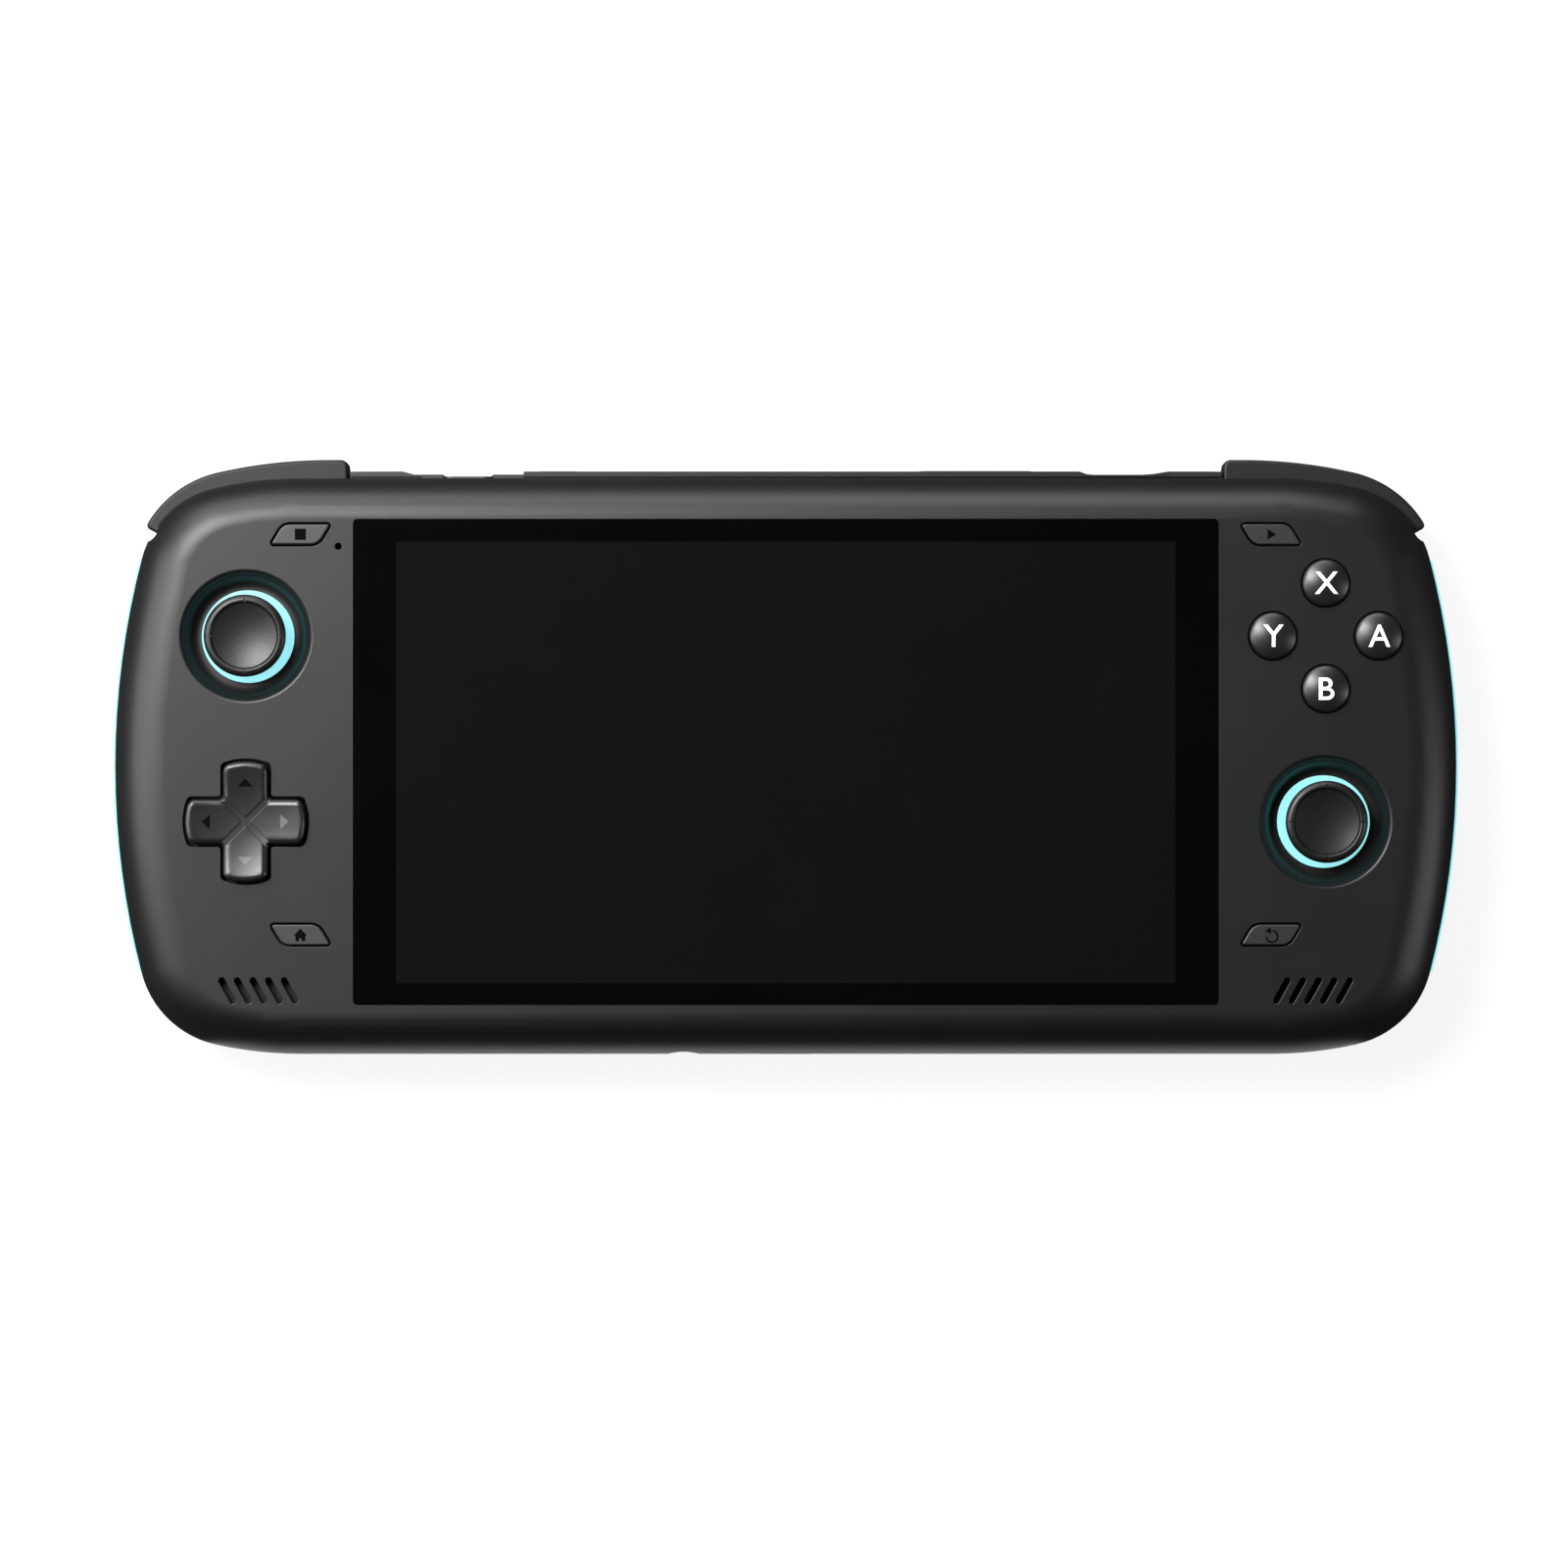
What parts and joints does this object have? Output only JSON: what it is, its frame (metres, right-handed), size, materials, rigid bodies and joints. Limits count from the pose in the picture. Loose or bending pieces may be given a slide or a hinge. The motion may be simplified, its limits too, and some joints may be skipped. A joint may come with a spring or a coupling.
{
  "type": "handheld game console",
  "caption": "Handheld game console with a wide screen between grips, thumb sticks, direction pad, face buttons, bumpers and triggers, in a two-part shell with its electronics inside.",
  "frame": {"origin": "under the middle of the console, on the plane its two grips rest on, with the screen facing up", "axes": "+X to the right of the screen, +Y to the top edge with the bumpers, +Z out of the screen"},
  "size_m": [0.2258, 0.0997, 0.0238],
  "materials": {
    "shell": "satin charcoal",
    "rear_shell": "satin charcoal",
    "edge_plate": "fine matt black",
    "keys": "satin charcoal",
    "bumpers": "satin charcoal",
    "gloss_buttons": "polished black",
    "dpad": "satin black",
    "stick_rubber": "fine stippled black",
    "light": "clear tinted light guide",
    "window": "clear window",
    "screen_glass": "polished, dark",
    "panel": "unlit screen",
    "frame_metal": "cast",
    "circuit_board": "solder mask",
    "battery_wrap": "film",
    "ribbon": "flexible film",
    "steel": "bright",
    "white_plastic": "moulded",
    "silicone": "moulded",
    "black_plastic": "moulded"
  },
  "bodies": {
    "casing": {"front_shell": "shell", "rear_shell": "rear_shell", "top_port_plate": "edge_plate", "side_light_left": "light", "side_light_right": "light", "cover_glass": "screen_glass", "display_panel": "panel", "mid_frame": "frame_metal", "main_board": "circuit_board", "battery": "battery_wrap", "port_board": "circuit_board", "button_board_left": "circuit_board", "button_board_right": "circuit_board", "display_ribbon": "ribbon", "stick_module_left": "steel", "stick_module_right": "steel", "light_ring_left": "light", "light_ring_right": "light", "dpad_membrane": "silicone", "face_membrane": "silicone", "bumper_pins": "steel", "trigger_pins": "steel", "trigger_springs": "steel", "status_light": "window", "heat_sink": "frame_metal", "fan_housing": "black_plastic", "speakers": "black_plastic", "rumble_motors": "steel", "usb_port": "steel", "headphone_jack": "black_plastic", "video_port": "steel", "case_screws": "steel", "frame_screws": "steel"},
    "left_stick_yoke": {"stick_x_rocker_left": "white_plastic"},
    "left_stick_shaft": {"stick_shaft_left": "steel"},
    "left_stick_arch": {"stick_y_rocker_left": "white_plastic"},
    "left_stick_cap": {"stick_cap_left": "stick_rubber"},
    "right_stick_yoke": {"stick_x_rocker_right": "white_plastic"},
    "right_stick_shaft": {"stick_shaft_right": "steel"},
    "right_stick_arch": {"stick_y_rocker_right": "white_plastic"},
    "right_stick_cap": {"stick_cap_right": "stick_rubber"},
    "dpad_spider": {"dpad_pivot": "white_plastic"},
    "dpad": {"dpad_cross": "dpad"},
    "button_a": {"button_a": "gloss_buttons"},
    "button_b": {"button_b": "gloss_buttons"},
    "button_x": {"button_x": "gloss_buttons"},
    "button_y": {"button_y": "gloss_buttons"},
    "select_button": {"select_button": "keys"},
    "start_button": {"start_button": "keys"},
    "home_button": {"home_button": "keys"},
    "back_button": {"back_button": "keys"},
    "left_bumper": {"bumper_left": "bumpers"},
    "right_bumper": {"bumper_right": "bumpers"},
    "left_trigger": {"trigger_left": "bumpers"},
    "right_trigger": {"trigger_right": "bumpers"},
    "left_rear_button": {"rear_button_left": "keys"},
    "right_rear_button": {"rear_button_right": "keys"},
    "power_button": {"power_button": "keys"},
    "volume_rocker": {"volume_rocker": "keys"},
    "fan": {"fan_rotor": "black_plastic"}
  },
  "joints": [
    {"name": "left_stick_left_right", "type": "hinge", "parent": "casing", "child": "left_stick_yoke", "pos_m": [-0.0898, 0.0201, 0.0115], "axis": [0, 1, 0], "range_deg": [-14, 14], "stiffness_Nm_per_rad": 0.05},
    {"name": "left_stick_up_down", "type": "hinge", "parent": "left_stick_yoke", "child": "left_stick_shaft", "pos_m": [-0.0898, 0.0201, 0.0115], "axis": [1, 0, 0], "range_deg": [-14, 14], "stiffness_Nm_per_rad": 0.05},
    {"name": "left_stick_arch_turn", "type": "hinge", "parent": "casing", "child": "left_stick_arch", "pos_m": [-0.0898, 0.0201, 0.0115], "axis": [1, 0, 0], "range_deg": [-14, 14]},
    {"name": "left_stick_click", "type": "slide", "parent": "left_stick_shaft", "child": "left_stick_cap", "axis": [0, 0, -1], "range_m": [0, 0.00035], "stiffness_N_per_m": 4000},
    {"name": "right_stick_left_right", "type": "hinge", "parent": "casing", "child": "right_stick_yoke", "pos_m": [0.0898, -0.0108, 0.0115], "axis": [0, 1, 0], "range_deg": [-14, 14], "stiffness_Nm_per_rad": 0.05},
    {"name": "right_stick_up_down", "type": "hinge", "parent": "right_stick_yoke", "child": "right_stick_shaft", "pos_m": [0.0898, -0.0108, 0.0115], "axis": [1, 0, 0], "range_deg": [-14, 14], "stiffness_Nm_per_rad": 0.05},
    {"name": "right_stick_arch_turn", "type": "hinge", "parent": "casing", "child": "right_stick_arch", "pos_m": [0.0898, -0.0108, 0.0115], "axis": [1, 0, 0], "range_deg": [-14, 14]},
    {"name": "right_stick_click", "type": "slide", "parent": "right_stick_shaft", "child": "right_stick_cap", "axis": [0, 0, -1], "range_m": [0, 0.00035], "stiffness_N_per_m": 4000},
    {"name": "dpad_left_right", "type": "hinge", "parent": "casing", "child": "dpad_spider", "pos_m": [-0.0898, -0.0108, 0.0168], "axis": [0, 1, 0], "range_deg": [-4, 4], "stiffness_Nm_per_rad": 0.15, "deforming": ["dpad_membrane"]},
    {"name": "dpad_up_down", "type": "hinge", "parent": "dpad_spider", "child": "dpad", "pos_m": [-0.0898, -0.0108, 0.0168], "axis": [1, 0, 0], "range_deg": [-4, 4], "stiffness_Nm_per_rad": 0.15, "deforming": ["dpad_membrane"]},
    {"name": "button_a_press", "type": "slide", "parent": "casing", "child": "button_a", "axis": [0, 0, -1], "range_m": [0, 0.0012], "stiffness_N_per_m": 500, "deforming": ["face_membrane"]},
    {"name": "button_b_press", "type": "slide", "parent": "casing", "child": "button_b", "axis": [0, 0, -1], "range_m": [0, 0.0012], "stiffness_N_per_m": 500, "deforming": ["face_membrane"]},
    {"name": "button_x_press", "type": "slide", "parent": "casing", "child": "button_x", "axis": [0, 0, -1], "range_m": [0, 0.0012], "stiffness_N_per_m": 500, "deforming": ["face_membrane"]},
    {"name": "button_y_press", "type": "slide", "parent": "casing", "child": "button_y", "axis": [0, 0, -1], "range_m": [0, 0.0012], "stiffness_N_per_m": 500, "deforming": ["face_membrane"]},
    {"name": "select_button_press", "type": "slide", "parent": "casing", "child": "select_button", "axis": [0, 0, -1], "range_m": [0, 0.00035], "stiffness_N_per_m": 2000},
    {"name": "start_button_press", "type": "slide", "parent": "casing", "child": "start_button", "axis": [0, 0, -1], "range_m": [0, 0.00035], "stiffness_N_per_m": 2000},
    {"name": "home_button_press", "type": "slide", "parent": "casing", "child": "home_button", "axis": [0, 0, -1], "range_m": [0, 0.00035], "stiffness_N_per_m": 2000},
    {"name": "back_button_press", "type": "slide", "parent": "casing", "child": "back_button", "axis": [0, 0, -1], "range_m": [0, 0.00035], "stiffness_N_per_m": 2000},
    {"name": "left_bumper_press", "type": "hinge", "parent": "casing", "child": "left_bumper", "pos_m": [-0.077, 0.0454, 0.0102], "axis": [0, 0, 1], "range_deg": [0, 2], "stiffness_Nm_per_rad": 0.6},
    {"name": "right_bumper_press", "type": "hinge", "parent": "casing", "child": "right_bumper", "pos_m": [0.077, 0.0454, 0.0102], "axis": [0, 0, -1], "range_deg": [0, 2], "stiffness_Nm_per_rad": 0.6},
    {"name": "left_trigger_pull", "type": "hinge", "parent": "casing", "child": "left_trigger", "pos_m": [-0.088, 0.0446, 0.0066], "axis": [-1, 0, 0], "range_deg": [0, 15], "stiffness_Nm_per_rad": 0.05},
    {"name": "right_trigger_pull", "type": "hinge", "parent": "casing", "child": "right_trigger", "pos_m": [0.088, 0.0446, 0.0066], "axis": [-1, 0, 0], "range_deg": [0, 15], "stiffness_Nm_per_rad": 0.05},
    {"name": "left_rear_button_press", "type": "slide", "parent": "casing", "child": "left_rear_button", "axis": [0, 0, 1], "range_m": [0, 0.0005], "stiffness_N_per_m": 1500},
    {"name": "right_rear_button_press", "type": "slide", "parent": "casing", "child": "right_rear_button", "axis": [0, 0, 1], "range_m": [0, 0.0005], "stiffness_N_per_m": 1500},
    {"name": "power_button_press", "type": "slide", "parent": "casing", "child": "power_button", "axis": [0, -1, 0], "range_m": [0, 0.0004], "stiffness_N_per_m": 2000},
    {"name": "volume_rocker_tip", "type": "hinge", "parent": "casing", "child": "volume_rocker", "pos_m": [0.0319, 0.04344, 0.009], "axis": [0, 0, 1], "range_deg": [-1.5, 1.5], "stiffness_Nm_per_rad": 0.5},
    {"name": "fan_spin", "type": "hinge", "parent": "casing", "child": "fan", "pos_m": [-0.011, 0.02, 0.009], "axis": [0, 0, 1], "continuous": true}
  ],
  "couplings": [
    {"joint": "left_stick_arch_turn", "follows": "left_stick_up_down", "ratio": 1},
    {"joint": "right_stick_arch_turn", "follows": "right_stick_up_down", "ratio": 1}
  ]
}
